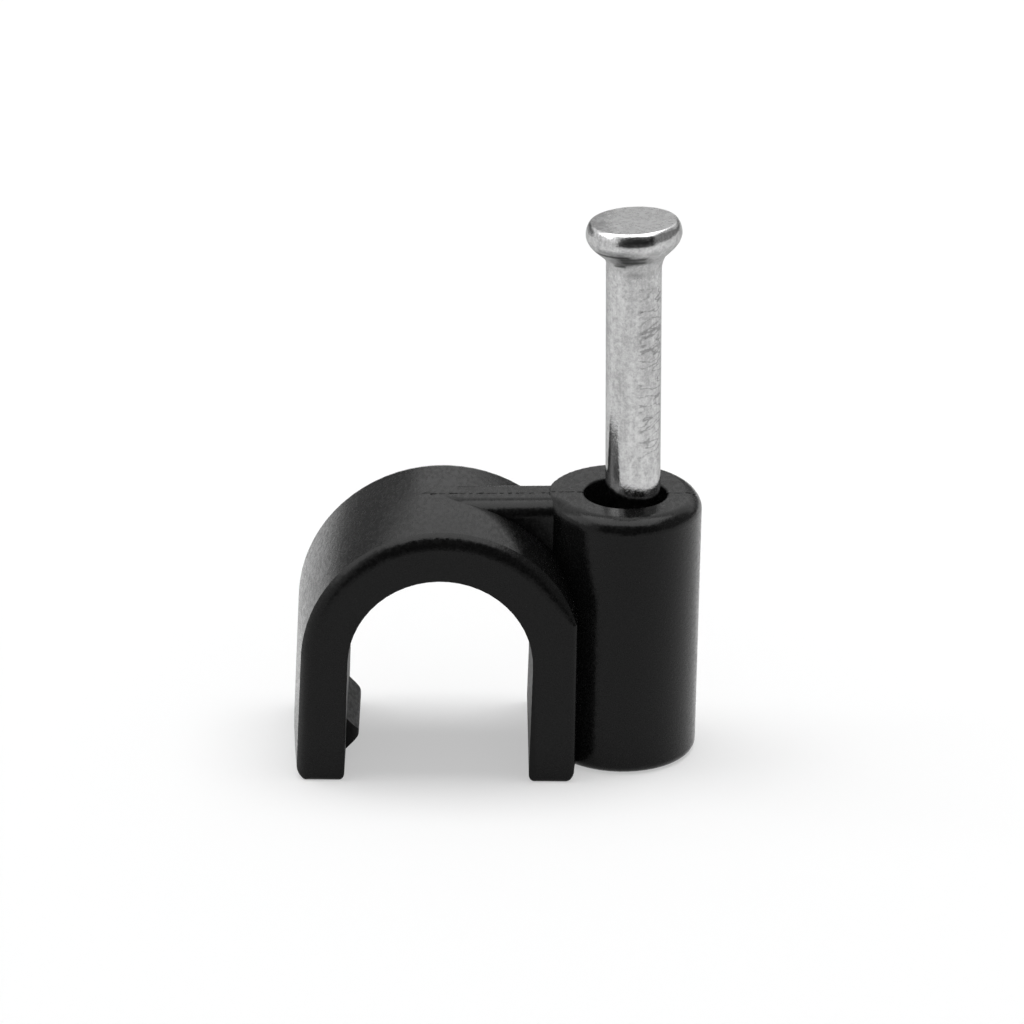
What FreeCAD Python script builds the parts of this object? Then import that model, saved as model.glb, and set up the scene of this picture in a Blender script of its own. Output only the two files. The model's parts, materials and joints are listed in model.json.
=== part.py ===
"""Nail-in cable clip: a moulded horseshoe clip and the steel nail that its boss carries.

The clip straddles one round cable, and its nail is driven through the boss into the wall.
Frame, in millimetres: the origin is on the cable's axis, in the middle of the clip's length.
+X points from the cable to the nail, +Y along the cable, and +Z out of the wall.
"""
import FreeCAD, Part
import math
import os

V = FreeCAD.Vector

# Channel and arch
channel_radius = 2.955       # inside of the arch, a light grip on a 6 mm cable
cable_height = 4.06          # wall to the cable's axis
clip_length = 6.17           # along the cable, face to face
arch_wall = 1.82             # crown and free leg, where they meet the back face
outside_shift = 0.07         # the outside arc's centre stands this far from the cable, to the nail
front_narrowing = 0.28       # the outside draws in by this much, ever faster, towards the front face
front_round = 0.60           # outside edge of the front face, over the crown and down the free leg
front_crease = 0.07          # that rounding would end this far outside, so a crease bounds it
back_round = 1.08            # the same two sizes at the back face
back_crease = 0.02
round_end_deg = 38.0         # below this angle from the cable's axis, on the boss's side,
boss_side_round = 0.24       # those roundings fade to this one

# Legs, each with its own lean away from the wall's normal
free_leg_inside_lean_deg = 1.6
free_leg_outside_lean_deg = 2.3
boss_leg_inside_lean_deg = -1.3
boss_leg_outside_x = 4.60    # cable's axis to this leg's outside, at the back face
foot_inside_round = 0.28     # corners of both feet, seen along the cable
foot_outside_round = 0.40
foot_edge_round = 0.14       # where the feet's two faces turn under

# Retaining ridge on the free leg, which holds the cable until the nail is driven
ridge_reach = 0.41           # how far it stands into the channel
ridge_top = 1.55             # wall to where its upper slope leaves the leg
ridge_bottom = 0.46          # wall to where its lower slope leaves the leg
ridge_land = 0.22            # flat between the two slopes
ridge_length = 3.30          # along the cable
ridge_round = 0.20

# Boss that carries the nail
boss_offset = 5.886          # cable's axis to the boss's axis
boss_radius = 2.464
boss_height = 8.86           # wall to the boss's top
boss_rim_round = 0.50        # in front and at the side away from the cable
boss_back_rim_round = 0.06   # at the back and beside the web, where the edge is nearly sharp
boss_rim_fade_deg = 30.0     # beside the web the rounding grows to its full size in this turn
boss_foot_round = 0.30

# Web from the crown to the boss, with a pointed nose that runs out over the crown
web_thickness = 1.70
web_nose_reach = 0.86        # the nose's point, past the cable's axis, away from the boss
web_nose_half_deg = 36.0     # between one side of the nose and the web's middle
web_nose_round = 1.14        # where the nose's sides turn into the web's
web_front_round = 0.53       # top edges, which fade to the nose's rounding along the nose
web_back_round = 0.30
web_point_round = 0.10

# Nail
nail_radius = 0.882
nail_length = 17.60          # head's top to the point
nail_stand = 9.19            # head's top above the boss's top, before it is driven
nail_lean_deg = 1.03         # the nail leans towards the cable
nail_offset = 0.235          # its axis passes the boss's top this far outside the boss's axis
head_radius = 1.52
head_flat_radius = 1.35      # flat top inside the rounded rim
head_rim_drop = 0.42         # head's top to the widest part of the rim
head_skew_deg = 2.6          # the head was upset a little out of square with the shank
cone_start = 0.85            # head's top to where the rim turns into the underside's cone
cone_start_radius = 1.30
neck_start = 1.15            # head's top to where the cone turns into the neck
neck_start_radius = 0.98
neck_end = 1.50              # head's top to where the neck has run out into the shank
point_length = 2.60          # cut on four sides
point_tip_radius = 0.08

# Bore of the boss
mouth_radius = 1.335         # wide upper bore, in the middle of the boss
mouth_taper_deg = 0.5
mouth_depth = 2.60           # boss's top to the foot of the wide bore
mouth_rim_round = 0.08
lead_in_height = 0.80        # oblique cone from the wide bore to the grip
grip_clearance = 0.03        # round the shank, which the grip holds by friction
head_clearance = 0.02        # left under the head when the nail is driven home

wall_z = -cable_height
boss_top_z = wall_z + boss_height
half_length = clip_length / 2
crown_radius = channel_radius + arch_wall
overcut = 2.0                # how far cutting solids pass the faces that they cut
tolerance = 1e-4


def tan(degrees):
    return math.tan(math.radians(degrees))


def on_arc(radius, centre_z, angle_deg, y):
    angle = math.radians(angle_deg)
    return V(radius * math.cos(angle), y, centre_z + radius * math.sin(angle))


def on_outside(radius, angle_deg, y):
    return on_arc(radius, 0, angle_deg, y) + V(outside_shift, 0, 0)


def line(start, end):
    return Part.LineSegment(start, end).toShape()


def arc(start, middle, end):
    return Part.Arc(start, middle, end).toShape()


def outline(points):
    """A closed wire of straight lines."""
    return Part.makePolygon(points + points[:1])


def middle_of(edge):
    return edge.valueAt((edge.FirstParameter + edge.LastParameter) / 2)


def leg_foot(spring, lean_deg, foot_z):
    """The foot below an arch's spring; a positive lean takes it away from the cable."""
    outwards = math.copysign(1, spring.x)
    shift = (spring.z - foot_z) * tan(lean_deg)
    return V(spring.x + outwards * shift, spring.y, foot_z)


def outside_size(y, creased=False):
    """The outside arc's radius and the boss-side flank's x at one y; creased adds the creases."""
    share = (half_length - y) / clip_length
    inwards = front_narrowing * share ** 2
    if creased:
        inwards -= front_crease * share + back_crease * (1 - share)
    return crown_radius - inwards, boss_leg_outside_x - inwards


def foot_corner(corner, slope_deg, side):
    """A foot's rounded outside corner: side is -1 at the free leg, +1 at the boss."""
    slope = math.radians(slope_deg)
    reach = foot_outside_round * math.tan((math.pi / 2 + slope) / 2)
    on_leg = corner + V(-side * math.sin(slope), 0, math.cos(slope)) * reach
    on_wall = corner - V(side * reach, 0, 0)
    centre = on_wall + V(0, 0, foot_outside_round)
    half_way = centre + (corner - centre).normalize() * foot_outside_round
    return on_leg, half_way, on_wall


def outside_wire(y, creased=False):
    """The arch's outline at one y. Creased, it is a little larger and runs on below the wall."""
    radius, flank_x = outside_size(y, creased)
    foot_z = wall_z - overcut if creased else wall_z
    spring_deg = 180 - free_leg_outside_lean_deg
    flank_deg = math.degrees(math.acos((flank_x - outside_shift) / radius))
    spring = on_outside(radius, spring_deg, y)
    fade = on_outside(radius, round_end_deg, y)
    flank = on_outside(radius, flank_deg, y)
    foot = leg_foot(spring, free_leg_outside_lean_deg, foot_z)
    flank_foot = V(flank_x, y, foot_z)
    over = [
        arc(spring, on_outside(radius, (spring_deg + round_end_deg) / 2, y), fade),
        arc(fade, on_outside(radius, (round_end_deg + flank_deg) / 2, y), flank),
    ]
    if creased:
        return Part.Wire([line(foot, spring), *over, line(flank, flank_foot), line(flank_foot, foot)])
    free = foot_corner(foot, free_leg_outside_lean_deg, -1)
    boss = foot_corner(flank_foot, 0, 1)
    return Part.Wire([line(free[0], spring), *over, line(flank, boss[0]), arc(*boss),
                      line(boss[2], free[2]), arc(*reversed(free))])


def channel_wire(y, foot_z):
    free_spring = on_arc(channel_radius, 0, 180 - free_leg_inside_lean_deg, y)
    boss_spring = on_arc(channel_radius, 0, boss_leg_inside_lean_deg, y)
    free_foot = leg_foot(free_spring, free_leg_inside_lean_deg, foot_z)
    boss_foot = leg_foot(boss_spring, boss_leg_inside_lean_deg, foot_z)
    return Part.Wire([
        line(free_foot, free_spring),
        arc(free_spring, on_arc(channel_radius, 0, 90, y), boss_spring),
        line(boss_spring, boss_foot),
        line(boss_foot, free_foot),
    ])


def between_faces(wire_at):
    """One smooth solid from face to face, from a function that gives its wire at one y."""
    return Part.makeLoft([wire_at(y) for y in (-half_length, 0, half_length)], True)


def round_together(shape, radii):
    """Round edges of one shape at once; radii gives an edge's two end radii, or None."""
    document = FreeCAD.newDocument("rounding")
    base = document.addObject("Part::Feature", "base")
    base.Shape = shape
    rounding = document.addObject("Part::Fillet", "rounding")
    rounding.Base = base
    chosen = [(number, radii(edge)) for number, edge in enumerate(shape.Edges, 1)]
    rounding.Edges = [(number, *pair) for number, pair in chosen if pair]
    document.recompute()
    result = rounding.Shape.copy()
    FreeCAD.closeDocument(document.Name)
    return result


def arch_radii(edge):
    """Full rounding over the crown and free leg, which fades to a small one beside the boss."""
    point = middle_of(edge)
    if abs(abs(point.y) - half_length) > tolerance or point.z < wall_z - tolerance:
        return None
    full = front_round if point.y < 0 else back_round
    flank_x = outside_size(point.y, True)[1]
    if point.x > flank_x - tolerance:
        return (boss_side_round, boss_side_round)
    angle_deg = math.degrees(math.atan2(point.z, point.x - outside_shift))
    if point.x > 0 and angle_deg < round_end_deg:
        return (full, boss_side_round)
    return (full, full)


def make_arch():
    """The arch and both legs, still filled in where the channel will be."""
    block = between_faces(lambda y: outside_wire(y, True))
    return between_faces(outside_wire).common(round_together(block, arch_radii))


def web_plan():
    """The web seen from above: each side of its nose turns into the web's side by an arc."""
    half = web_thickness / 2
    half_angle = math.radians(web_nose_half_deg)
    corner_x = half / math.tan(half_angle) - web_nose_reach
    tangent = web_nose_round * math.tan(half_angle / 2)
    point = V(-web_nose_reach, 0, wall_z)
    sides = []
    for side in (-1, 1):
        corner = V(corner_x, side * half, wall_z)
        start = corner - V(math.cos(half_angle), side * math.sin(half_angle), 0) * tangent
        end = corner + V(tangent, 0, 0)
        centre = end - V(0, side * web_nose_round, 0)
        half_way = centre + (corner - centre).normalize() * web_nose_round
        far = V(boss_offset, side * half, wall_z)
        sides.append([line(point, start), arc(start, half_way, end), line(end, far)])
    far_end = line(V(boss_offset, -half, wall_z), V(boss_offset, half, wall_z))
    return Part.Wire(sides[0] + [far_end] + sides[1][::-1])


def web_top_z(x):
    """The web's top runs from the crown's height over the cable up to the boss's top."""
    crown_z = outside_size(0)[0]
    return crown_z + (boss_top_z - crown_z) * x / boss_offset


def web_radii(edge):
    """Full roundings along the web's top, which fade to the point's along the nose."""
    point = middle_of(edge)
    if abs(point.z - web_top_z(point.x)) > tolerance or point.x > boss_offset - tolerance:
        return None
    full = web_front_round if point.y < 0 else web_back_round
    faded = (full + web_point_round) / 2
    if not isinstance(edge.Curve, Part.Line):
        radii = (full, faded)
    elif abs(abs(point.y) - web_thickness / 2) < tolerance:
        radii = (full, full)
    else:
        radii = (faded, web_point_round)
    return radii if point.y > 0 else radii[::-1]


def make_web():
    """A plate in the middle of the clip, with a pointed nose that runs out over the crown."""
    prism = Part.Face(web_plan()).extrude(V(0, 0, boss_height + overcut))
    above = Part.Face(outline([
        V(-crown_radius, -clip_length, web_top_z(-crown_radius)),
        V(boss_offset, -clip_length, boss_top_z),
        V(boss_offset, -clip_length, boss_top_z + boss_height),
        V(-crown_radius, -clip_length, boss_top_z + boss_height),
    ])).extrude(V(0, 2 * clip_length, 0))
    return round_together(prism.cut(above), web_radii)


def turned(points_and_arcs, axis_x):
    """A solid of revolution about a vertical axis, from its half section's edges."""
    return Part.Face(Part.Wire(points_and_arcs)).revolve(V(axis_x, 0, 0), V(0, 0, 1), 360)


def corner_arc(centre_x, centre_z, radius, start_deg, end_deg):
    at = [on_arc(radius, 0, angle, 0) + V(centre_x, 0, centre_z)
          for angle in (start_deg, (start_deg + end_deg) / 2, end_deg)]
    return arc(*at)


def boss_radii(edge):
    """The foot's rounding all round, and the rim's, which fades at the back and beside the web."""
    point = middle_of(edge)
    if abs(point.z - wall_z) < tolerance:
        return (boss_foot_round, boss_foot_round)
    if abs(point.z - boss_top_z) > tolerance:
        return None
    turn_deg = math.degrees(math.atan2(point.y, point.x - boss_offset))
    if turn_deg < boss_rim_fade_deg - 180:
        return (boss_back_rim_round, boss_rim_round)
    if turn_deg < 0:
        return (boss_rim_round, boss_rim_round)
    if turn_deg < 90:
        return (boss_rim_round, boss_back_rim_round)
    return (boss_back_rim_round, boss_back_rim_round)


def make_boss():
    """A post on the wall, seen from above as four arcs, which let its rim's rounding vary."""
    def seen_from_above(start_deg, end_deg):
        turns = [math.radians(turn) for turn in (start_deg, (start_deg + end_deg) / 2, end_deg)]
        return arc(*[V(boss_offset + boss_radius * math.cos(turn), boss_radius * math.sin(turn), wall_z)
                     for turn in turns])
    marks = [-180, boss_rim_fade_deg - 180, 0, 90, 180]
    plan = Part.Wire([seen_from_above(*pair) for pair in zip(marks, marks[1:])])
    post = Part.Face(plan).extrude(V(0, 0, boss_height))
    return round_together(post, boss_radii)


def nail_axis_at(z):
    """Where the nail's axis passes one height."""
    return V(boss_offset + nail_offset + (boss_top_z - z) * tan(nail_lean_deg), 0, z)


def make_bore():
    """What the boss loses to the nail: wide bore, oblique cone, and the grip along the nail."""
    rim = mouth_rim_round
    step_z = boss_top_z - mouth_depth
    grip_z = step_z - lead_in_height
    step_radius = mouth_radius - mouth_depth * tan(mouth_taper_deg)
    rim_x = boss_offset + mouth_radius
    section = [
        line(V(boss_offset, 0, step_z), V(boss_offset + step_radius, 0, step_z)),
        line(V(boss_offset + step_radius, 0, step_z), V(rim_x, 0, boss_top_z - rim)),
        corner_arc(rim_x + rim, boss_top_z - rim, rim, 180, 90),
        line(V(rim_x + rim, 0, boss_top_z), V(rim_x + rim, 0, boss_top_z + overcut)),
        line(V(rim_x + rim, 0, boss_top_z + overcut), V(boss_offset, 0, boss_top_z + overcut)),
        line(V(boss_offset, 0, boss_top_z + overcut), V(boss_offset, 0, step_z)),
    ]
    grip_radius = nail_radius + grip_clearance
    grip_top = nail_axis_at(grip_z)
    down = nail_axis_at(wall_z - overcut) - grip_top
    step_circle = Part.makeCircle(step_radius, V(boss_offset, 0, step_z), V(0, 0, 1))
    grip_circle = Part.makeCircle(grip_radius, grip_top, down.negative())
    cone = Part.makeLoft([Part.Wire(grip_circle), Part.Wire(step_circle)], True, True)
    grip = Part.makeCylinder(grip_radius, down.Length, grip_top, down)
    return turned(section, boss_offset).fuse([cone, grip])


def make_ridge():
    """Two slopes and a land along the free leg, rooted a little inside it."""
    def leg_x(z):
        return leg_foot(on_arc(channel_radius, 0, 180, 0), free_leg_inside_lean_deg, z).x
    top_z = wall_z + ridge_top
    bottom_z = wall_z + ridge_bottom
    tip_x = leg_x((top_z + bottom_z) / 2) + ridge_reach
    root = V(-ridge_reach, 0, 0)
    start = V(0, -ridge_length / 2, 0)
    profile = [
        V(leg_x(top_z), 0, top_z) + root,
        V(leg_x(top_z), 0, top_z),
        V(tip_x, 0, top_z - ridge_reach),
        V(tip_x, 0, top_z - ridge_reach - ridge_land),
        V(leg_x(bottom_z), 0, bottom_z),
        V(leg_x(bottom_z), 0, bottom_z) + root,
    ]
    ridge = Part.Face(outline([start + point for point in profile])).extrude(V(0, ridge_length, 0))
    tip_edges = [edge for edge in ridge.Edges if abs(middle_of(edge).x - tip_x) < tolerance]
    return ridge.makeFillet(ridge_round, tip_edges)


def inside_foot_edges(body):
    """The inside corners of both feet, which run along the cable."""
    found = []
    for edge in body.Edges:
        ends = [edge.valueAt(edge.FirstParameter), edge.valueAt(edge.LastParameter)]
        on_wall = all(abs(point.z - wall_z) < tolerance for point in ends)
        along = abs(ends[0].x - ends[1].x) < tolerance < abs(ends[0].y - ends[1].y)
        if on_wall and along and abs(ends[0].x) < channel_radius + ridge_reach:
            found.append(edge)
    return found


def foot_edge(side):
    """What the feet lose where one face, at -Y or +Y, turns under."""
    face_y = side * half_length
    flat_y = face_y - side * foot_edge_round
    top_z = wall_z + foot_edge_round
    turn = math.radians(45)
    half_way = V(0, flat_y + side * foot_edge_round * math.sin(turn), top_z - foot_edge_round * math.cos(turn))
    profile = Part.Wire([
        arc(V(0, face_y, top_z), half_way, V(0, flat_y, wall_z)),
        line(V(0, flat_y, wall_z), V(0, flat_y, wall_z - overcut)),
        line(V(0, flat_y, wall_z - overcut), V(0, face_y + side * overcut, wall_z - overcut)),
        line(V(0, face_y + side * overcut, wall_z - overcut), V(0, face_y + side * overcut, top_z)),
        line(V(0, face_y + side * overcut, top_z), V(0, face_y, top_z)),
    ])
    reach = 2 * crown_radius
    profile.translate(V(-reach, 0, 0))
    return Part.Face(profile).extrude(V(2 * reach, 0, 0))


def make_clip_body():
    channel_face = Part.Face(channel_wire(-half_length - overcut, wall_z - overcut))
    channel = channel_face.extrude(V(0, clip_length + 2 * overcut, 0))
    body = make_arch().fuse([make_web(), make_boss()]).cut(channel)
    body = body.removeSplitter()
    body = body.makeFillet(foot_inside_round, inside_foot_edges(body))
    body = body.cut([foot_edge(-1), foot_edge(1)])
    return body.fuse(make_ridge()).cut(make_bore()).Solids[0]


def make_neck(skew):
    """A smooth flare from the shank's circle to the head's, which is turned by the skew."""
    rim_middle = V(0, 0, -head_rim_drop)
    head_circle_at = rim_middle + skew.multVec(V(0, 0, head_rim_drop - neck_start))
    shank_circle_at = V(0, 0, -neck_end)
    head_normal = skew.multVec(V(0, 0, 1))
    shank_normal = V(0, 0, 1)
    middle_radius = (neck_start_radius + 2 * nail_radius) / 3
    circles = [
        Part.makeCircle(nail_radius, shank_circle_at, shank_normal),
        Part.makeCircle(middle_radius, (head_circle_at + shank_circle_at) / 2, head_normal + shank_normal),
        Part.makeCircle(neck_start_radius, head_circle_at, head_normal),
    ]
    return Part.makeLoft([Part.Wire(circle) for circle in circles], True)


def make_nail():
    """The nail along -Z from its head's top, then set in its place."""
    rim_bulge = V((head_flat_radius + 2 * head_radius) / 3, 0, -head_rim_drop / 3)
    rim = V(head_radius, 0, -head_rim_drop)
    cone_top = V(cone_start_radius, 0, -cone_start)
    under_bulge = V((head_radius * 2 + cone_start_radius) / 3, 0, -(head_rim_drop + cone_start) / 2)
    neck_top = V(neck_start_radius, 0, -neck_start)
    head_section = [
        line(V(0, 0, 0), V(head_flat_radius, 0, 0)),
        arc(V(head_flat_radius, 0, 0), rim_bulge, rim),
        arc(rim, under_bulge, cone_top),
        line(cone_top, neck_top),
        line(neck_top, V(0, 0, -neck_start)),
        line(V(0, 0, -neck_start), V(0, 0, 0)),
    ]
    head = turned(head_section, 0)
    head.rotate(V(0, 0, -head_rim_drop), V(0, 1, 0), -head_skew_deg)
    neck = make_neck(FreeCAD.Rotation(V(0, 1, 0), -head_skew_deg))
    shank = Part.makeCylinder(nail_radius, nail_length - point_length - neck_end,
                              V(0, 0, -nail_length + point_length))

    def square(half, z):
        return outline([V(half, half, z), V(-half, half, z), V(-half, -half, z), V(half, -half, z)])
    flats = Part.makeLoft([square(point_tip_radius, -nail_length),
                           square(nail_radius, -nail_length + point_length)], True, True)
    point = flats.common(Part.makeCylinder(nail_radius, point_length, V(0, 0, -nail_length)))
    nail = head.fuse([neck, shank, point]).removeSplitter()
    nail.rotate(V(0, 0, 0), V(0, 1, 0), -nail_lean_deg)
    nail.translate(nail_axis_at(boss_top_z + nail_stand))
    return nail.Solids[0]


def nail_travel():
    """How far the nail goes in before its underside meets the mouth's rim."""
    free_radius = mouth_radius - nail_offset - head_clearance
    share = (cone_start_radius - free_radius) / (cone_start_radius - neck_start_radius)
    seat_drop = cone_start + share * (neck_start - cone_start)
    return nail_stand - seat_drop


if __name__ == "__main__":
    os.makedirs("parts", exist_ok=True)
    for name, shape in (("clip_body", make_clip_body()), ("nail", make_nail())):
        shape.exportStep(f"parts/{name}.step")
        box = shape.BoundBox
        print(name, "valid" if shape.isValid() else "not valid", len(shape.Solids), "solid,",
              round(shape.Volume, 3), "mm3, x", round(box.XMin, 3), round(box.XMax, 3),
              "y", round(box.YMin, 3), round(box.YMax, 3), "z", round(box.ZMin, 3), round(box.ZMax, 3))
    print("nail travel", round(nail_travel(), 3), "mm")
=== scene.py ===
# %% [markdown]
# # A nail-in cable clip
# A small black clip holds a round cable against a wall. Its moulded arch straddles the cable, and a tall
# boss beside the arch carries a steel nail, which stands ready for the hammer. The measured model comes
# in with both pieces at their real sizes, in metres. This lesson gives them their surfaces, puts the fine
# details on them, and sets them in a small studio.

# %% Load the measured model
import json
import math

import bpy
from mathutils import Matrix, Vector

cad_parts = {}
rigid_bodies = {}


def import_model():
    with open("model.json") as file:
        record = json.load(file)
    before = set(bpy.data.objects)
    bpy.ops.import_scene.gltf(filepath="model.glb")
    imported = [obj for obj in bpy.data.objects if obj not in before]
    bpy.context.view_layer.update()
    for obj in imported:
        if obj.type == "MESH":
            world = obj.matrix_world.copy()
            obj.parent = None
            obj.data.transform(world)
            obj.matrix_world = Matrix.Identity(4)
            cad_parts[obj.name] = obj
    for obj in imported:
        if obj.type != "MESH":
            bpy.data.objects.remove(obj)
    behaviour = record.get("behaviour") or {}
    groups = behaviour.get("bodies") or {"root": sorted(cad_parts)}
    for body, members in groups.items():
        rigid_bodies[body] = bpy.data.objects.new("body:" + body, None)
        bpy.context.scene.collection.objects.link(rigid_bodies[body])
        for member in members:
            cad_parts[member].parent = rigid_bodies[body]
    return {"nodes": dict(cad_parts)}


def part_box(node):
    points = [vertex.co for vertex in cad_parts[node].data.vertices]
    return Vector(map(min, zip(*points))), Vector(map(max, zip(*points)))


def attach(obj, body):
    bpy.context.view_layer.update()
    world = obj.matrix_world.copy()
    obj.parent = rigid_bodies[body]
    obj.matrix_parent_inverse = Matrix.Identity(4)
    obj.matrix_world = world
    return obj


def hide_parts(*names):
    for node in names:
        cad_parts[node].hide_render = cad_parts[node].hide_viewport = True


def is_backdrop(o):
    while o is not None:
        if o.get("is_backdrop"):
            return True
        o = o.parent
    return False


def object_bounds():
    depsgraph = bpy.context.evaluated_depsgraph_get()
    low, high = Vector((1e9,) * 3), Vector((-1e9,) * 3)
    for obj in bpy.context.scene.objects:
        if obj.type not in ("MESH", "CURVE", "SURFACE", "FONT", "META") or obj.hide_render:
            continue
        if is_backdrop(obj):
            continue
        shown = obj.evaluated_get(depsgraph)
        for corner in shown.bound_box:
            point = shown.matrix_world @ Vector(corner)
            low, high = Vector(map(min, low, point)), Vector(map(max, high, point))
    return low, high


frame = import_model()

MM = 0.001
measured_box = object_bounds()


def in_mm(corners):
    """The corners of a box in millimetres, for printing."""
    return [[round(value / MM, 3) for value in corner] for corner in corners]


print("measured box, mm:", in_mm(measured_box))

# %% [markdown]
# The camera stands some 15 cm in front of the clip and looks down on it by 23 degrees, through a long
# lens. Its place and turn come from circles and straight edges of known size in the picture. The other
# way is to try views until one looks right, but a fitted camera lets every edge be compared.

# %% Camera
SENSOR_WIDTH = 36.0
LENS = 158.2
CAMERA_PLACE = Vector((0.7089, -133.4591, 59.5248)) * MM
CAMERA_TURN_DEG = (67.4402, -0.6972, -0.3744)
NEAREST_SEEN, FARTHEST_SEEN = 5 * MM, 5.0

camera_data = bpy.data.cameras.new("camera")
camera_data.sensor_width = SENSOR_WIDTH
camera_data.lens = LENS
camera_data.clip_start = NEAREST_SEEN
camera_data.clip_end = FARTHEST_SEEN
camera = bpy.data.objects.new("camera", camera_data)
camera.location = CAMERA_PLACE
camera.rotation_euler = [math.radians(angle) for angle in CAMERA_TURN_DEG]
bpy.context.scene.collection.objects.link(camera)
bpy.context.scene.camera = camera
print("camera", round(CAMERA_PLACE.length / MM), "mm from the cable's axis")

# %% [markdown]
# Node trees read more easily as sums. A `Wire` stands for one output socket, and each operator on it adds
# one Math node, so a pattern is written as an expression. Every other node comes from `Graph.node`, which
# sets the node's own settings first, because they decide which sockets it has, and then fills its
# sockets with values or wires. The other methods only give names to nodes that come back often. Numbers
# alone stay plain Python.

# %% Wires and graphs
class Wire:
    """One output socket of a graph's node, which can stand in a sum like a number."""

    def __init__(self, graph, socket):
        self.graph = graph
        self.socket = socket

    def math(self, operation, *values):
        return self.graph.node("ShaderNodeMath", {"operation": operation}, dict(enumerate(values)))

    def __add__(self, other):
        return self.math("ADD", self, other)

    def __radd__(self, other):
        return self.math("ADD", other, self)

    def __sub__(self, other):
        return self.math("SUBTRACT", self, other)

    def __rsub__(self, other):
        return self.math("SUBTRACT", other, self)

    def __mul__(self, other):
        return self.math("MULTIPLY", self, other)

    def __rmul__(self, other):
        return self.math("MULTIPLY", other, self)

    def __truediv__(self, other):
        return self.math("DIVIDE", self, other)

    def __pow__(self, other):
        return self.math("POWER", self, other)

    def __abs__(self):
        return self.math("ABSOLUTE", self)


def socket_of(sockets, key):
    """A socket by its number, or the one in use that has this name."""
    if isinstance(key, int):
        return sockets[key]
    return next(socket for socket in sockets if socket.name == key and socket.enabled)


def grey(level):
    return (level, level, level, 1.0)


class Graph:
    """A node tree whose nodes are added by one method."""

    def __init__(self, tree):
        self.tree = tree

    def node(self, kind, settings=None, values=None, output=0):
        node = self.tree.nodes.new(kind)
        for name, value in (settings or {}).items():
            setattr(node, name, value)
        for name, value in (values or {}).items():
            socket = socket_of(node.inputs, name)
            if isinstance(value, Wire):
                self.tree.links.new(value.socket, socket)
            else:
                socket.default_value = value
        return Wire(self, socket_of(node.outputs, output))

    def separate(self, vector):
        """The X, Y and Z wires of a vector."""
        x = self.node("ShaderNodeSeparateXYZ", {}, {"Vector": vector})
        return [Wire(self, socket) for socket in x.socket.node.outputs]

    def combine(self, **parts):
        """A vector of the given X, Y and Z, which are 0 where they aren't given."""
        return self.node("ShaderNodeCombineXYZ", {}, parts)

    def length(self, vector):
        return self.node("ShaderNodeVectorMath", {"operation": "LENGTH"}, {0: vector}, "Value")

    def scaled(self, place, *scale):
        """A place with its axes scaled; a scale below 1 draws a pattern out along that axis."""
        return self.node("ShaderNodeMapping", {}, {"Vector": place, "Scale": scale})

    def ease(self, value, low, high):
        """Goes smoothly from 0 at low to 1 at high."""
        return self.node("ShaderNodeMapRange", {"interpolation_type": "SMOOTHSTEP"}, {
            "Value": value, "From Min": low, "From Max": high, "To Min": 0.0, "To Max": 1.0})

    def ramp(self, value, low, high, start=0.0, end=1.0):
        """Goes evenly from start, at low, to end, at high, and stays there."""
        return self.node("ShaderNodeMapRange", {"clamp": True}, {
            "Value": value, "From Min": low, "From Max": high, "To Min": start, "To Max": end})

    def noise(self, place, per_mm, detail, roughness=0.5, distortion=0.0):
        return self.node("ShaderNodeTexNoise", {}, {
            "Vector": place, "Scale": per_mm / MM, "Detail": detail, "Roughness": roughness,
            "Distortion": distortion})

    def least(self, first, second):
        return self.node("ShaderNodeMath", {"operation": "MINIMUM"}, {0: first, 1: second})

    def most(self, first, second):
        return self.node("ShaderNodeMath", {"operation": "MAXIMUM"}, {0: first, 1: second})

    def mix(self, share, first, second):
        """A colour from the first one, at share 0, to the second, at share 1."""
        return self.node("ShaderNodeMix", {"data_type": "RGBA"}, {
            "Factor": share, "A": first, "B": second}, "Result")

    def bump(self, height, depth):
        return self.node("ShaderNodeBump", {}, {"Height": height, "Strength": 1.0, "Distance": depth})

    def glow(self, colour, strength):
        return self.node("ShaderNodeEmission", {}, {"Color": colour, "Strength": strength})


def new_material(name):
    material = bpy.data.materials.new(name)
    material.use_nodes = True
    material.node_tree.nodes.clear()
    return material, Graph(material.node_tree)


def blend(shares, patterns):
    """The sum of some patterns, each times its share."""
    parts = [share * pattern for share, pattern in zip(shares, patterns)]
    return sum(parts[1:], parts[0])


def show(graph, shader, output="ShaderNodeOutputMaterial"):
    end = graph.tree.nodes.new(output)
    graph.tree.links.new(shader.socket, end.inputs["Surface"])


print("a wire's operators add Math nodes; Graph.node adds all others")

# %% [markdown]
# The clip is moulded in black polypropylene or nylon. Such plastic is nearly black inside, and what the
# eye sees is mostly the gloss of its skin, which is brightest where it is seen at a glancing angle. A
# paint-like grey would look right from one side only. So the colour stays almost black, the specular tint
# holds back the gloss of faces that look at the camera, and the roughness carries the detail. The mould
# was finished satin: its fine grain is a little longer along the cable, the way the clip slid out, and
# faint drag lines run the same way. Small flecks of gloss show that grain on the crown, where a bump alone
# hardly does. Inside the channel, where the mould's core stood, the skin is duller.

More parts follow.
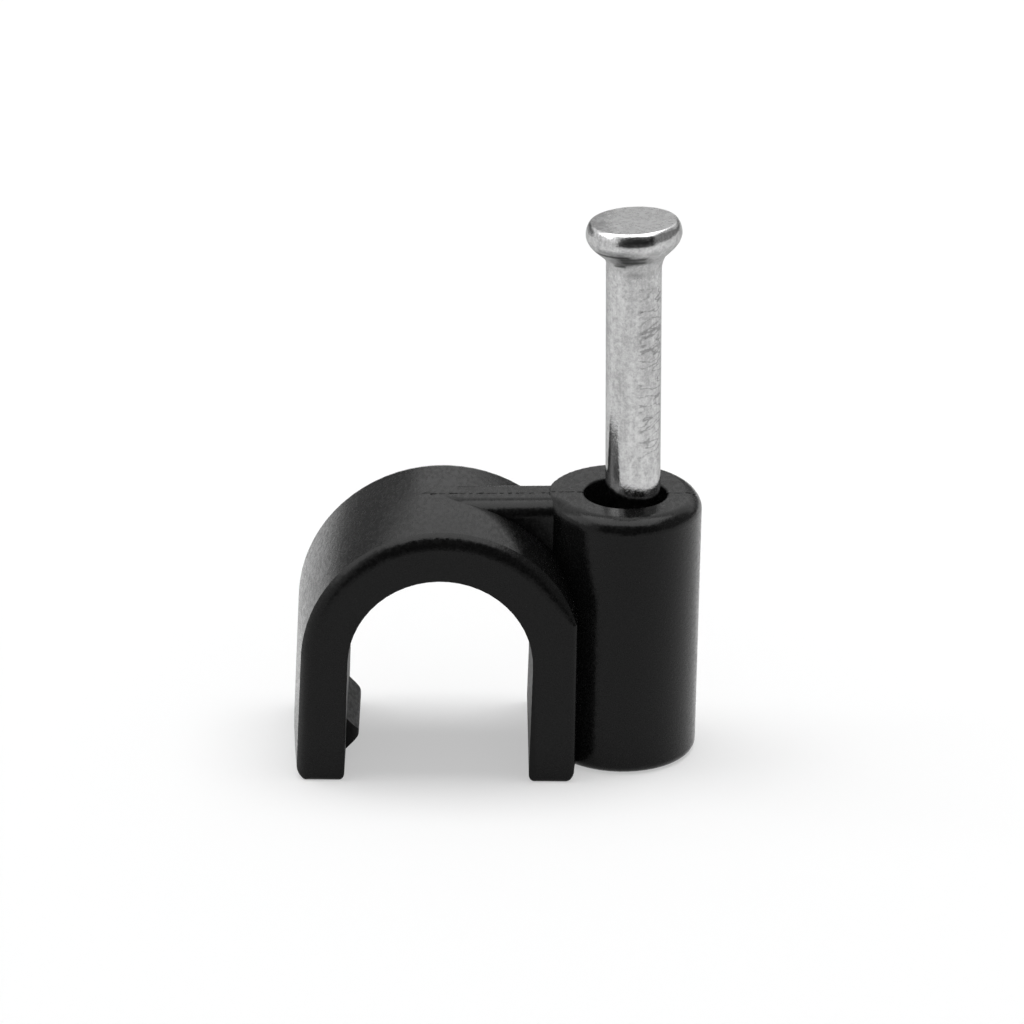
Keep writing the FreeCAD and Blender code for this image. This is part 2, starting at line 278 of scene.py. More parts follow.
# %% Black plastic
CHANNEL_RADIUS = 2.955 * MM
ARCH_EDGE = (CHANNEL_RADIUS + 0.01 * MM, CHANNEL_RADIUS + 0.05 * MM)
LEG_EDGE = (CHANNEL_RADIUS + 0.05 * MM, CHANNEL_RADIUS + 0.09 * MM)
LEG_TOP = (0.0, -0.1 * MM)
LEG_LEAN = 0.02
SATIN_PER_MM, PATCHES_PER_MM, DRAG_PER_MM = 9.0, 0.55, 7.0
SATIN_STRETCH, DRAG_STRETCH = 0.45, 0.12
FLECK_STEP = (0.36, 0.64)
PLAIN_ROUGHNESS = 0.235
PATCH_ROUGHNESS, FLECK_ROUGHNESS, CHANNEL_ROUGHNESS = 0.09, 0.12, 0.30
GRAIN_SATIN_DRAG_HEIGHTS = (0.2, 0.5, 0.3)
SKIN_DEPTH = 0.010 * MM
GRAIN_PATCH_TONES = (0.4, 0.6)
DARKER_BLACK, LIGHTER_BLACK = grey(0.0034), grey(0.0056)
PLASTIC_IOR = 1.5
FACING_GLOSS = grey(0.30)

plastic, graph = new_material("black_moulding")
place = graph.node("ShaderNodeTexCoord", output="Object")
x, _, z = graph.separate(place)

grain = graph.noise(place, SATIN_PER_MM, detail=4.0, roughness=0.6)
patches = graph.noise(place, PATCHES_PER_MM, detail=2.0)
satin = graph.noise(graph.scaled(place, 1.0, SATIN_STRETCH, 1.0), SATIN_PER_MM, detail=2.0, roughness=0.6)
drag = graph.noise(graph.scaled(place, 1.0, DRAG_STRETCH, 1.0), DRAG_PER_MM, detail=3.0, roughness=0.55,
                   distortion=0.4)
flecks = graph.ease(satin, *FLECK_STEP)

from_axis = graph.length(graph.combine(X=x, Z=z))
in_arch = 1 - graph.ease(from_axis, *ARCH_EDGE)
from_middle = abs(x) + z * LEG_LEAN
in_legs = 1 - graph.ease(from_middle, *LEG_EDGE)
channel = graph.most(in_arch, in_legs * graph.ease(z, *LEG_TOP))

roughness = (PLAIN_ROUGHNESS + PATCH_ROUGHNESS * (patches - 0.5) + FLECK_ROUGHNESS * (flecks - 0.5)
             + CHANNEL_ROUGHNESS * channel)
height = blend(GRAIN_SATIN_DRAG_HEIGHTS, (grain, satin, drag))
tone = graph.mix(blend(GRAIN_PATCH_TONES, (grain, patches)), DARKER_BLACK, LIGHTER_BLACK)
show(graph, graph.node("ShaderNodeBsdfPrincipled", {}, {
    "Base Color": tone, "Roughness": roughness, "Normal": graph.bump(height, SKIN_DEPTH),
    "IOR": PLASTIC_IOR, "Specular Tint": FACING_GLOSS}))

clip_body = frame["nodes"]["clip_body"]
clip_body.data.materials.clear()
clip_body.data.materials.append(plastic)
print("clip body:", len(clip_body.data.polygons), "triangles")

# %% [markdown]
# Shapes that follow a rule come from Geometry Nodes. A helper opens a tree with named inputs, the sizes
# that it works from, and another closes it. A third hangs the tree on an object, fills its inputs by
# their sockets' identifiers, keeps the result as a plain mesh and drops the modifier. The piece that
# stays is then an ordinary mesh in its place, with its object at the origin.

# %% Trees with named sizes
def open_tree(name, sizes, carrier=False):
    """A new tree, and a wire for each named size, for the carrier's object and for the finish."""
    tree = bpy.data.node_groups.new(name, "GeometryNodeTree")
    tree.interface.new_socket("Geometry", in_out="OUTPUT", socket_type="NodeSocketGeometry")
    for size in sizes:
        tree.interface.new_socket(size, in_out="INPUT", socket_type="NodeSocketFloat")
    if carrier:
        tree.interface.new_socket("Carrier", in_out="INPUT", socket_type="NodeSocketObject")
    tree.interface.new_socket("Finish", in_out="INPUT", socket_type="NodeSocketMaterial")
    graph = Graph(tree)
    start = tree.nodes.new("NodeGroupInput")
    return graph, {socket.name: Wire(graph, socket) for socket in start.outputs if socket.name}


def close_tree(graph, geometry, finish):
    """Ends a tree as the export needs it: real meshes, shaded smooth, with their material."""
    real = graph.node("GeometryNodeRealizeInstances", {}, {0: geometry})
    smooth = graph.node("GeometryNodeSetShadeSmooth", {}, {0: real})
    finished = graph.node("GeometryNodeSetMaterial", {}, {"Geometry": smooth, "Material": finish})
    end = graph.tree.nodes.new("NodeGroupOutput")
    graph.tree.links.new(finished.socket, end.inputs[0])


def grow(name, graph, sizes):
    """Evaluates a tree once with these sizes and keeps its result as a plain mesh."""
    piece = bpy.data.objects.new(name, bpy.data.meshes.new(name + "_start"))
    bpy.context.scene.collection.objects.link(piece)
    modifier = piece.modifiers.new("shape", "NODES")
    modifier.node_group = graph.tree
    for item in graph.tree.interface.items_tree:
        if item.item_type == "SOCKET" and item.in_out == "INPUT":
            modifier[item.identifier] = sizes[item.name]
    bpy.context.view_layer.update()
    evaluated = piece.evaluated_get(bpy.context.evaluated_depsgraph_get())
    mesh = bpy.data.meshes.new_from_object(evaluated)
    piece.modifiers.clear()
    piece.data = mesh
    mesh.name = name
    print(name, "has", len(mesh.vertices), "points and", len(mesh.polygons), "faces")
    return piece


print("a tree opens with its sizes, closes with its finish, and grows into a mesh")

# %% [markdown]
# The nail is hardened steel wire. A machine grips the wire in a die and strikes its end, which swells
# into a round head with a soft rim, a little out of square. The die leaves oblique nicks along one side
# of the shank and scrapes below the head, and the far end is pinched to a four-sided point. The nail is
# plated with zinc and tumbled in a barrel with thousands of others, so its skin is bright but mottled.
#
# The turned shape follows a rule, and so do the nicks. Sculpting them by hand would be slow and hard to
# change, so a tree does it: a plain cylinder of many rings is the start, each ring's depth and radius
# follow from the named sizes, and the nicks push single points inwards.

# %% The nail's sizes and rings
NAIL_SIZES = {
    "Length": 17.60 * MM, "Shank Radius": 0.882 * MM, "Head Radius": 1.52 * MM,
    "Flat Radius": 1.35 * MM, "Rim Drop": 0.42 * MM, "Cone Start": 0.85 * MM, "Cone Radius": 1.30 * MM,
    "Neck Start": 1.15 * MM, "Neck Radius": 0.98 * MM, "Neck End": 1.50 * MM,
    "Point Length": 2.60 * MM, "Tip Radius": 0.08 * MM, "Head Skew": math.radians(2.6),
    "Grip End": 9.8 * MM, "Nick Depth": 0.0050 * MM, "Scrape Depth": 0.008 * MM,
}
RING_COUNT = 480
RING_POINTS = 160
CAP_RINGS = 12

nail_graph, size = open_tree("turned_nail", NAIL_SIZES)
blank = nail_graph.node("GeometryNodeMeshCylinder", {"fill_type": "TRIANGLE_FAN"}, {
    "Vertices": RING_POINTS, "Side Segments": RING_COUNT, "Fill Segments": CAP_RINGS, "Radius": 1.0,
    "Depth": 1.0})
px, py, pz = nail_graph.separate(nail_graph.node("GeometryNodeInputPosition"))
share = 0.5 - pz
print("rings:", RING_COUNT, "of", RING_POINTS, "points")

# %% [markdown]
# The blank's rings are evenly spaced, but the nail needs them where it has detail. So each part of it gets
# its own share of the rings: the head and neck, then the upper shank down to where the nicks end, then
# the plain shank inside the boss, and the point. A lathe's outline then gives each ring its radius: the
# flat, the soft rim that swells out from it, the rim's rounded underside, the cone, and the neck that
# runs out into the shank.

# %% Depth and radius of each ring
HEAD_SHARE = 0.14
GRIP_SHARE = 0.80
POINT_SHARE = 0.92
RIM_ROUNDNESS = 0.45
RIM_CURVE, UNDERSIDE_CURVE, NECK_CURVE = 2.0, 1.8, 2.0

point_start = size["Length"] - size["Point Length"]
depth = (nail_graph.ramp(share, 0.0, HEAD_SHARE, 0.0, size["Neck End"])
         + nail_graph.ramp(share, HEAD_SHARE, GRIP_SHARE, 0.0, size["Grip End"] - size["Neck End"])
         + nail_graph.ramp(share, GRIP_SHARE, POINT_SHARE, 0.0, point_start - size["Grip End"])
         + nail_graph.ramp(share, POINT_SHARE, 1.0, 0.0, size["Point Length"]))

bevel = 1 - (1 - nail_graph.ramp(depth, 0.0, size["Rim Drop"])) ** RIM_CURVE
swelling = RIM_ROUNDNESS * bevel ** 0.5 + (1 - RIM_ROUNDNESS) * bevel
down_underside = nail_graph.ramp(depth, size["Rim Drop"], size["Cone Start"]) ** UNDERSIDE_CURVE
down_cone = nail_graph.ramp(depth, size["Cone Start"], size["Neck Start"])
down_neck = 1 - (1 - nail_graph.ramp(depth, size["Neck Start"], size["Neck End"])) ** NECK_CURVE
turned = (size["Flat Radius"] + (size["Head Radius"] - size["Flat Radius"]) * swelling
          - (size["Head Radius"] - size["Cone Radius"]) * down_underside
          - (size["Cone Radius"] - size["Neck Radius"]) * down_cone
          - (size["Neck Radius"] - size["Shank Radius"]) * down_neck)
print("shares of the rings:", HEAD_SHARE, "head,", round(GRIP_SHARE - HEAD_SHARE, 2), "upper shank,",
      round(POINT_SHARE - GRIP_SHARE, 2), "lower shank,", round(1 - POINT_SHARE, 2), "point")

# %% [markdown]
# The point is pinched on four sides. Its section is a square that shrinks towards the tip, with the round
# wire left at its corners, so the radius is the smaller of the wire's and the square's. The nicks and
# scrapes are noise stretched along the die's edges, kept to the side and the depths where the die held.

# %% The point and the die's marks
NAIL_SEED = 4.0
STROKE_DETAIL = 1.5
LINE_WIDTH = 0.030
LINE_CORE = 0.4
GROUP_STEP, BROAD_STEP, SMALL_STEP = (0.34, 0.42), (0.34, 0.52), (0.46, 0.56)
CORNER_SHARE = 0.7
CENTRE_GUARD = 0.001

ring_place = nail_graph.most(nail_graph.length(nail_graph.combine(X=px, Y=py)), CENTRE_GUARD)
corner = nail_graph.most(nail_graph.most(abs(px), abs(py)) / ring_place, CORNER_SHARE)
pinch = nail_graph.ramp(depth, point_start, size["Length"], size["Shank Radius"], size["Tip Radius"])
above_point = depth.math("LESS_THAN", depth, point_start)
wire_radius = nail_graph.least(turned, pinch / corner + above_point * size["Head Radius"])

turn = px.math("ARCTAN2", px, 0 - py)
around = turn * size["Shank Radius"]


def die_marks(slope, across_per_mm, along_per_mm):
    """Long fine strokes on the nail's skin, which rise to the right by this slope."""
    drawn_out = nail_graph.combine(X=(depth + slope * around) * (across_per_mm / MM),
                                   Y=around * (along_per_mm / MM), Z=NAIL_SEED)
    return nail_graph.node("ShaderNodeTexNoise", {}, {
        "Vector": drawn_out, "Scale": 1.0, "Detail": STROKE_DETAIL})


def between(value, low, high, soft):
    """1 from low to high, and 0 a soft step outside them."""
    return nail_graph.ease(value, low - soft, low) * (1 - nail_graph.ease(value, high, high + soft))


def spot(top_mm, foot_mm, left_deg, right_deg, soft_mm, soft_deg):
    """A patch of the skin between two depths and two angles from the front."""
    return (between(depth, top_mm * MM, foot_mm * MM, soft_mm * MM)
            * between(turn, math.radians(left_deg), math.radians(right_deg), math.radians(soft_deg)))


strokes = die_marks(slope=0.20, across_per_mm=3.4, along_per_mm=1.1)
groups = die_marks(slope=0.1, across_per_mm=1.5, along_per_mm=0.6)
thin_lines = 1 - nail_graph.ease(abs(strokes - 0.5), LINE_CORE * LINE_WIDTH, LINE_WIDTH)
nicks = (thin_lines * nail_graph.ease(groups, *GROUP_STEP)
         * spot(top_mm=2.3, foot_mm=7.4, left_deg=16, right_deg=70, soft_mm=0.8, soft_deg=12))

brushing = die_marks(slope=-0.03, across_per_mm=11.0, along_per_mm=0.8)
broad_scrape = spot(top_mm=0.84, foot_mm=1.08, left_deg=-20, right_deg=12, soft_mm=0.04, soft_deg=9)
thin_scrape = spot(top_mm=0.75, foot_mm=0.81, left_deg=-60, right_deg=-12, soft_mm=0.03, soft_deg=8)
small_scrape = spot(top_mm=1.17, foot_mm=1.25, left_deg=-42, right_deg=-22, soft_mm=0.04, soft_deg=6)
scrapes = (nail_graph.ease(brushing, *BROAD_STEP) * broad_scrape + thin_scrape
           + nail_graph.ease(brushing, *SMALL_STEP) * small_scrape)
radius = wire_radius - nicks * size["Nick Depth"] - scrapes * size["Scrape Depth"]
print("nicks", NAIL_SIZES["Nick Depth"] / MM, "mm deep, scrapes", NAIL_SIZES["Scrape Depth"] / MM, "mm")

# %% [markdown]
# The head is struck a little out of square, so the rings of the head turn about the rim's middle, and the
# turn dies out along the neck. The marks are also stored on the points, before these move, so that the
# finish can find them. The whole nail then leans by one degree in its bore, as the measured one does, and
# its place goes into its mesh. The piece rides on the nail's own body, so it slides with it.

# %% The nail in its bore
HEAD_TOP = Vector((5.95628, 0.0, 13.99)) * MM
NAIL_LEAN = math.radians(1.03)
SHARP_ANGLE = math.radians(32)
LEAST_CORNER, MOST_CORNER = 0, 6

straight = nail_graph.combine(X=px * radius, Y=py * radius, Z=0 - depth)
rim_middle = nail_graph.combine(Z=0 - size["Rim Drop"])
upset = size["Head Skew"] * (nail_graph.ramp(depth, size["Neck Start"], size["Neck End"]) - 1)
leaning = nail_graph.node("ShaderNodeVectorRotate", {"rotation_type": "Y_AXIS"}, {
    "Vector": straight, "Center": rim_middle, "Angle": upset})
marked = blank
for name, marks in (("nick", nicks), ("scrape", scrapes)):
    marked = nail_graph.node("GeometryNodeStoreNamedAttribute", {"data_type": "FLOAT", "domain": "POINT"}, {
        "Geometry": marked, "Name": name, "Value": marks})
shaped = nail_graph.node("GeometryNodeSetPosition", {}, {"Geometry": marked, "Position": leaning})
close_tree(nail_graph, shaped, size["Finish"])

zinc, zinc_graph = new_material("bright_zinc")
nail = grow("driven_nail_steel", nail_graph, {**NAIL_SIZES, "Finish": zinc})
nail_place = Matrix.Translation(HEAD_TOP) @ Matrix.Rotation(-NAIL_LEAN, 4, "Y")
nail.data.transform(nail_place)
nail.data.set_sharp_from_angle(angle=SHARP_ANGLE)
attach(nail, "driven_nail")
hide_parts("nail")
print("nail made, mm:", in_mm(nail.bound_box[corner] for corner in (LEAST_CORNER, MOST_CORNER)))
print("measured, mm: ", in_mm(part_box("nail")))

# %% [markdown]
# Zinc plate is a metal, so it shows the studio in its own grey. The shank is smooth enough to mirror the
# black plastic beside it as a dark wedge. The barrel gives it a fine mottle, and the wire was drawn
# through a die, so faint streaks run down it. The hammer's side, the flat of the head, is dull, and so are
# the cone and the neck, which the die's edge squeezed. The nicks and the scrapes below the head are too
# shallow to shade themselves, so their colour is darkened: painted shade in the nicks and under the head.
# The pattern is placed in the nail's own axes: a Mapping node undoes the nail's place and lean.

# %% Zinc plate
FLAT_EDGE, RIM_FOOT = (-0.06 * MM, -0.02 * MM), (-0.55 * MM, -0.40 * MM)
UNDER_TOP, UNDER_FOOT = (-0.60 * MM, -0.50 * MM), (-1.75 * MM, -1.45 * MM)
MOTTLE_PER_MM, PITS_PER_MM, STREAKS_PER_MM, WIDE_PER_MM, BRUSHED_PER_MM = 5.5, 14.0, 6.0, 1.6, 3.0
STREAK_STRETCH, WIDE_STRETCH, BRUSHED_SQUEEZE = 0.18, 0.10, 4.0
MOTTLE_PITS_STREAKS_WIDE_TONES = (0.40, 0.20, 0.20, 0.20)
MOTTLE_PITS_STREAKS_HEIGHTS = (0.45, 0.20, 0.20)
WORN_STEP, MOTTLE_STEP = (0.38, 0.62), (0.35, 0.70)
FLAT_WEAR = 0.80
FLAT_EVENNESS = 0.75
# The last grey is painted shade, which the nicks and the scrapes under the head are darkened towards.
DARKER_ZINC, LIGHTER_ZINC, PAINTED_NICK_SHADE = grey(0.37), grey(0.62), grey(0.10)
NICK_SHADE_SHARE, SCRAPE_SHADE_SHARE = 0.50, 0.85
BRIGHT_ROUGHNESS, MOTTLE_ROUGHNESS = 0.09, 0.08
FLAT_ROUGHNESS, UNDER_ROUGHNESS, RIM_ROUGHNESS = 0.17, 0.34, 0.08
ZINC_DEPTH = 0.008 * MM
FLAT_SMOOTHING, BRUSHED_HEIGHT = 0.6, 0.30
ZINC_EDGE_TINT = grey(0.62)

graph = zinc_graph
undo = nail_place.inverted()
place = graph.node("ShaderNodeMapping", {"vector_type": "POINT"}, {
    "Vector": graph.node("ShaderNodeTexCoord", output="Object"),
    "Location": undo.to_translation(), "Rotation": undo.to_euler()})
on_nail = graph.separate(place)[2]

on_flat = graph.ease(on_nail, *FLAT_EDGE)
on_rim = graph.ease(on_nail, *RIM_FOOT) * (1 - on_flat)
under_head = graph.ease(on_nail, *UNDER_FOOT) * (1 - graph.ease(on_nail, *UNDER_TOP))
nick, scrape = (graph.node("ShaderNodeAttribute", {"attribute_type": "GEOMETRY", "attribute_name": name},
                           output="Fac") for name in ("nick", "scrape"))

mottle = graph.noise(place, MOTTLE_PER_MM, detail=5.0, roughness=0.70)
pits = graph.noise(place, PITS_PER_MM, detail=2.0, roughness=0.6)
streaks = graph.noise(graph.scaled(place, 1.0, 1.0, STREAK_STRETCH), STREAKS_PER_MM, detail=3.0,
                      roughness=0.65)
wide = graph.noise(graph.scaled(place, 1.0, 1.0, WIDE_STRETCH), WIDE_PER_MM, detail=1.0)
brushed = graph.noise(graph.scaled(place, 1.0, BRUSHED_SQUEEZE, 1.0), BRUSHED_PER_MM, detail=4.0,
                      roughness=0.6, distortion=0.8)

tone = blend(MOTTLE_PITS_STREAKS_WIDE_TONES, (mottle, pits, streaks, wide))
worn = graph.ease(tone, *WORN_STEP) * (1 - FLAT_EVENNESS * on_flat) + FLAT_WEAR * on_flat
plate = graph.mix(worn, DARKER_ZINC, LIGHTER_ZINC)
# Painted shade: the nicks and the scrapes below the head are mixed towards a dark grey.
colour = graph.mix(NICK_SHADE_SHARE * nick + SCRAPE_SHADE_SHARE * scrape, plate, PAINTED_NICK_SHADE)
roughness = (BRIGHT_ROUGHNESS + MOTTLE_ROUGHNESS * graph.ease(mottle, *MOTTLE_STEP)
             + FLAT_ROUGHNESS * on_flat + UNDER_ROUGHNESS * under_head + RIM_ROUGHNESS * on_rim)
barrel_skin = blend(MOTTLE_PITS_STREAKS_HEIGHTS, (mottle, pits, streaks))
height = barrel_skin * (1 - FLAT_SMOOTHING * on_flat) + BRUSHED_HEIGHT * brushed * on_flat
show(graph, graph.node("ShaderNodeBsdfPrincipled", {}, {
    "Base Color": colour, "Roughness": roughness, "Metallic": 1.0,
    "Normal": graph.bump(height, ZINC_DEPTH), "Specular Tint": ZINC_EDGE_TINT}))
print("zinc nodes:", len(graph.tree.nodes))

# %% [markdown]
# Where the mould's halves met, a hair of plastic was pressed into the joint. It stands along the middle of
# the web and of the boss's top as a row of tiny beads and dashes, and where the joint ends on the arch
# there is one bigger bead. A bump can't cast their small shadows, so they are real: a tree walks a
# straight line above the clip, drops points onto it by ray casting, and sets a small drop on each.

# %% The parting line's tree
FLASH_SIZES = {
    "Line Start": -0.30 * MM, "Mouth Start": 4.46 * MM, "Mouth End": 7.31 * MM, "Line End": 8.06 * MM,
    "Spacing": 0.21 * MM, "Bead Radius": 0.026 * MM, "First Bead Radius": 0.042 * MM, "Above": 8.0 * MM,
}
FLASH_SEED = 7
ALONG_JITTER, ACROSS_JITTER = 0.07 * MM, 0.012 * MM
RAY_LENGTH = 0.05
DASH_LENGTHS, BEAD_LENGTHS = (1.2, 5.0), (1.0, 1.1)
WIDTHS, HEIGHTS = (0.7, 1.1), (0.5, 1.0)
AFTER_FIRST_BEAD = 0.12 * MM
ONE_BEAD_RUN, ONE_BEAD_SPACING = 0.02 * MM, 1.0 * MM

flash_graph, size = open_tree("mould_flash", FLASH_SIZES, carrier=True)


def line_points(start, end, spacing):
    """Points along X from start to end at this spacing, high above the clip."""
    line = flash_graph.node("GeometryNodeCurvePrimitiveLine", {"mode": "POINTS"}, {
        "Start": flash_graph.combine(X=start, Z=size["Above"]),
        "End": flash_graph.combine(X=end, Z=size["Above"])})
    return flash_graph.node("GeometryNodeCurveToPoints", {"mode": "LENGTH"}, {
        "Curve": line, "Length": spacing})


def chance(low, high, seed):
    return flash_graph.node("FunctionNodeRandomValue", {"data_type": "FLOAT"}, {
        "Min": low, "Max": high, "Seed": FLASH_SEED + seed}, "Value")


def drops(points, radius, lengths):
    """Sets a long low drop on the clip below each point."""
    carrier = flash_graph.node("GeometryNodeObjectInfo", {}, {"Object": size["Carrier"]}, "Geometry")
    jitter = flash_graph.combine(X=chance(-ALONG_JITTER, ALONG_JITTER, seed=1),
                                 Y=chance(-ACROSS_JITTER, ACROSS_JITTER, seed=2))
    moved = flash_graph.node("GeometryNodeSetPosition", {}, {"Geometry": points, "Offset": jitter})
    hit = flash_graph.node("GeometryNodeRaycast", {}, {
        "Target Geometry": carrier, "Ray Direction": flash_graph.combine(Z=-1.0),
        "Ray Length": RAY_LENGTH}, "Hit Position")
    dropped = flash_graph.node("GeometryNodeSetPosition", {}, {"Geometry": moved, "Position": hit})
    drop = flash_graph.node("GeometryNodeMeshIcoSphere", {}, {"Radius": radius, "Subdivisions": 2})
    stretch = flash_graph.combine(X=chance(*lengths, seed=3), Y=chance(*WIDTHS, seed=4),
                                  Z=chance(*HEIGHTS, seed=5))
    return flash_graph.node("GeometryNodeInstanceOnPoints", {}, {
        "Points": dropped, "Instance": drop, "Scale": stretch})


web_line = drops(line_points(size["Line Start"] + AFTER_FIRST_BEAD, size["Mouth Start"], size["Spacing"]),
                 size["Bead Radius"], DASH_LENGTHS)
boss_line = drops(line_points(size["Mouth End"], size["Line End"], size["Spacing"]),
                  size["Bead Radius"], DASH_LENGTHS)
first_bead = drops(line_points(size["Line Start"], size["Line Start"] + ONE_BEAD_RUN, ONE_BEAD_SPACING),
                   size["First Bead Radius"], BEAD_LENGTHS)
joined = flash_graph.tree.nodes.new("GeometryNodeJoinGeometry")
for part in (web_line, boss_line, first_bead):
    flash_graph.tree.links.new(part.socket, joined.inputs[0])
close_tree(flash_graph, Wire(flash_graph, joined.outputs[0]), size["Finish"])

flash = grow("mould_flash", flash_graph, {**FLASH_SIZES, "Carrier": clip_body, "Finish": plastic})
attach(flash, "clip")
print("flash, mm:", in_mm(flash.bound_box[corner] for corner in (LEAST_CORNER, MOST_CORNER)))

# %% [markdown]
# The floor is matt white paper. Lit only by the soft lamp it would look grey, so for rays that the camera
# or a mirror sends, part of its colour is a plain glow of strength 1. The shadow stays in the other part.
# The light that reaches the object isn't raised by this.

# %% Floor
FLOOR_GLOW = 0.45
FLOOR_HALF = 0.6
PAPER_WHITE = grey(0.9)
WALL_Z = measured_box[0].z


def seen_rays(graph):
    """1 for rays from the camera, a mirror or glass, and 0 for rays that only carry light."""
    kinds = [graph.node("ShaderNodeLightPath", output=name)
             for name in ("Is Camera Ray", "Is Glossy Ray", "Is Transmission Ray")]
    return graph.most(graph.most(kinds[0], kinds[1]), kinds[2])


def sheet(name, corners, material):
    """One flat stage piece with four corners."""
    mesh = bpy.data.meshes.new(name)
    mesh.from_pydata(corners, [], [(0, 1, 2, 3)])
    mesh.materials.append(material)
    stage_piece = bpy.data.objects.new(name, mesh)
    bpy.context.scene.collection.objects.link(stage_piece)
    stage_piece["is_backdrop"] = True
    return stage_piece


paper, graph = new_material("white_paper")
matt = graph.node("ShaderNodeBsdfDiffuse", {}, {"Color": PAPER_WHITE})
show(graph, graph.node("ShaderNodeMixShader", {}, {
    0: seen_rays(graph) * FLOOR_GLOW, 1: matt, 2: graph.glow(grey(1.0), 1.0)}))
sheet("floor", [(-FLOOR_HALF, -FLOOR_HALF, WALL_Z), (FLOOR_HALF, -FLOOR_HALF, WALL_Z),
                (FLOOR_HALF, FLOOR_HALF, WALL_Z), (-FLOOR_HALF, FLOOR_HALF, WALL_Z)], paper)
print("floor at z", round(WALL_Z / MM, 3), "mm")

# %% [markdown]
# Glossy things show what stands around them, so a studio for them is made of cards, which only
# reflections see here. All their places are in metres, and their heights are angles seen from the object.
#
# - A dark flag behind the camera, and dark cloth from there almost to the object, give the rounded edges
#   their dark line and keep the faces that look at the camera black.
# - A light card behind is what the upward faces mirror. Below it a dim band, with a lighter foot, holds
#   back what the crown and the web mirror at a flatter angle.
# - A dim card at the back left, and dim paper on the floor there, shade the crown's left shoulder.
# - A dim card stands at the right of the boss, and a bright one at the left lights the arch's flank.

# %% Cards
CARD_LIFT = 0.0002
FLAG_LEVEL = 0.02
FLAG_Y = -0.6
FLAG_LEFT, FLAG_RIGHT = -0.5, 0.7
FLAG_TOP_DEG = 55
CLOTH_END_Y = -0.068
CLOTH_LEFT, CLOTH_RIGHT = -0.06, 0.08
BACK_LEVEL = 0.97
BACK_Y = 0.8
BACK_HALF = 1.5
BAND_LEVEL = 0.19
BAND_FOOT_LEVEL = 0.50
BAND_Y = 0.25
BAND_LEFT, BAND_RIGHT = -0.5, 0.5
BAND_LOW_DEG, BAND_FOOT_DEG, BAND_TOP_DEG = 0.5, 5, 21.5
DIM_LEFT_END = -0.045
DIM_LEFT_TOP_DEG = 26.5
DIM_FLOOR_LEVEL = 0.55
DIM_FLOOR_Y = 0.09
RIGHT_LEVEL = 0.30
LEFT_LEVEL = 3.1
SIDE_X = 0.8


def height_at(distance, angle_deg):
    """The height that is seen from the object at this angle, this far away."""
    return abs(distance) * math.tan(math.radians(angle_deg))


def card(name, level, corners, foot_level=None, foot_top=None):
    """A sheet with an even glow, which only reflections see. A foot level fades into it up to foot_top."""
    material, graph = new_material(name)
    colour, strength = grey(level), 1.0
    if foot_level is not None:
        height = graph.separate(graph.node("ShaderNodeTexCoord", output="Object"))[2]
        colour, strength = grey(1.0), graph.ramp(height, 0.0, foot_top, foot_level, level)
    show(graph, graph.glow(colour, strength))
    stage_piece = sheet(name, corners, material)
    stage_piece.visible_camera = False
    stage_piece.visible_diffuse = False
    stage_piece.visible_shadow = False


def side_card(name, level, x, span_y, span_deg):
    """A card beside the object at this x."""
    low, high = (height_at(x, angle) for angle in span_deg)
    front, back = span_y
    card(name, level, [(x, front, low), (x, back, low), (x, back, high), (x, front, high)])


def standing_card(name, level, y, span_x, span_deg, **foot):
    """A card across the room at this y."""
    low, high = (height_at(y, angle) for angle in span_deg)
    left, right = span_x
    card(name, level, [(left, y, low), (right, y, low), (right, y, high), (left, y, high)], **foot)


def floor_card(name, level, *corners):
    """A card that lies just above the floor, by its corners' x and y."""
    card(name, level, [(x, y, WALL_Z + CARD_LIFT) for x, y in corners])


standing_card("dark_flag", FLAG_LEVEL, FLAG_Y, (FLAG_LEFT, FLAG_RIGHT), (0, FLAG_TOP_DEG))
floor_card("dark_floor", FLAG_LEVEL, (FLAG_LEFT, FLAG_Y), (FLAG_RIGHT, FLAG_Y),
           (CLOTH_RIGHT, CLOTH_END_Y), (CLOTH_LEFT, CLOTH_END_Y))
standing_card("back_card", BACK_LEVEL, BACK_Y, (-BACK_HALF, BACK_HALF), span_deg=(19, 50))
standing_card("dim_band", BAND_LEVEL, BAND_Y, (BAND_LEFT, BAND_RIGHT), (BAND_LOW_DEG, BAND_TOP_DEG),
              foot_level=BAND_FOOT_LEVEL, foot_top=height_at(BAND_Y, BAND_FOOT_DEG))
standing_card("dim_left", BAND_LEVEL, BAND_Y, (BAND_LEFT, DIM_LEFT_END), (BAND_TOP_DEG, DIM_LEFT_TOP_DEG))
floor_card("dim_floor", DIM_FLOOR_LEVEL, (BAND_LEFT, BAND_Y), (BAND_LEFT, DIM_FLOOR_Y),
           (0.0, DIM_FLOOR_Y), (0.0, BAND_Y))
side_card("right_card", RIGHT_LEVEL, SIDE_X, span_y=(-0.7, 0.5), span_deg=(0, 50))
side_card("left_card", LEFT_LEVEL, -SIDE_X, span_y=(-0.45, 0.25), span_deg=(22, 70))
print("cards:", FLAG_LEVEL, BACK_LEVEL, BAND_LEVEL, DIM_FLOOR_LEVEL, RIGHT_LEVEL, LEFT_LEVEL)

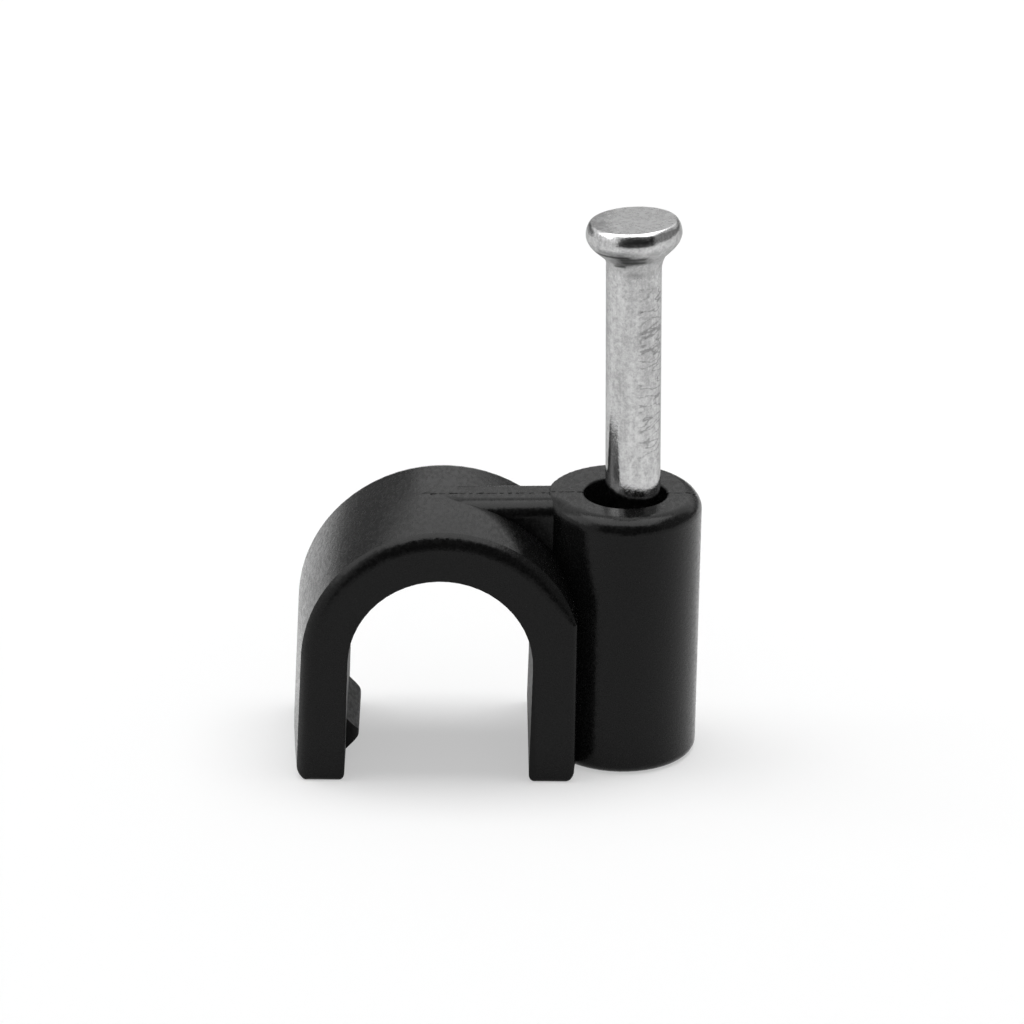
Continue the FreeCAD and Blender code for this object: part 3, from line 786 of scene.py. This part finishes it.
# %% [markdown]
# One wide soft lamp hangs half a metre above and a little behind the object. A soft box lights a small
# glossy object evenly and leaves only a faint shadow below it. The lamp's power is worked out from how
# bright its face should be: a face that sends the same light to all sides gives pi times that a square
# metre. Upward faces mirror the lamp too, so a card just below it, a little less bright, sets what they
# see. It ends where the lamp does at the back, and reaches forward to the line of sight over the dark flag.

# %% Lamp
LAMP_LEVEL = 4.8
LAMP_SIZE = (0.70, 0.254)
LAMP_PLACE = Vector((0.0, 0.065, 0.5))
FACE_LEVEL = 4.2
FACE_FRONT = -LAMP_PLACE.z / math.tan(math.radians(FLAG_TOP_DEG))
FACE_BACK = LAMP_PLACE.y + LAMP_SIZE[1] / 2
FACE_BELOW_LAMP = 2 * MM

lamp_data = bpy.data.lights.new("soft_box", "AREA")
lamp_data.shape = "RECTANGLE"
lamp_data.size, lamp_data.size_y = LAMP_SIZE
lamp_data.energy = LAMP_LEVEL * math.pi * LAMP_SIZE[0] * LAMP_SIZE[1]
lamp = bpy.data.objects.new("soft_box", lamp_data)
lamp.location = LAMP_PLACE
bpy.context.scene.collection.objects.link(lamp)

half_x = LAMP_SIZE[0] / 2
face_z = LAMP_PLACE.z - FACE_BELOW_LAMP
card("lamp_face", FACE_LEVEL, [(-half_x, FACE_FRONT, face_z), (-half_x, FACE_BACK, face_z),
                               (half_x, FACE_BACK, face_z), (half_x, FACE_FRONT, face_z)])
print("lamp", round(lamp_data.energy, 2), "W")

# %% [markdown]
# The room is white to the camera and to mirrors, and much dimmer as light, so that the lamp gives the
# shadow. Reading the ray's kind changes only what the backdrop looks like, not how a surface is lit.

# %% World and view
WORLD_LIGHT = 0.35

world = bpy.data.worlds.new("studio")
world.use_nodes = True
world.node_tree.nodes.clear()
bpy.context.scene.world = world
graph = Graph(world.node_tree)
strength = seen_rays(graph) * (1.0 - WORLD_LIGHT) + WORLD_LIGHT
white = graph.node("ShaderNodeBackground", {}, {"Color": grey(1.0), "Strength": strength})
show(graph, white, "ShaderNodeOutputWorld")
bpy.context.scene.view_settings.view_transform = "Standard"
print("the room's light:", WORLD_LIGHT)

# %% [markdown]
# The new nail and the beads of flash should fill the same box as the measured clip, so both boxes are
# written down side by side.

# %% Sizes, and the end
shown_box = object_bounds()
print("shown box, mm:", in_mm(shown_box))
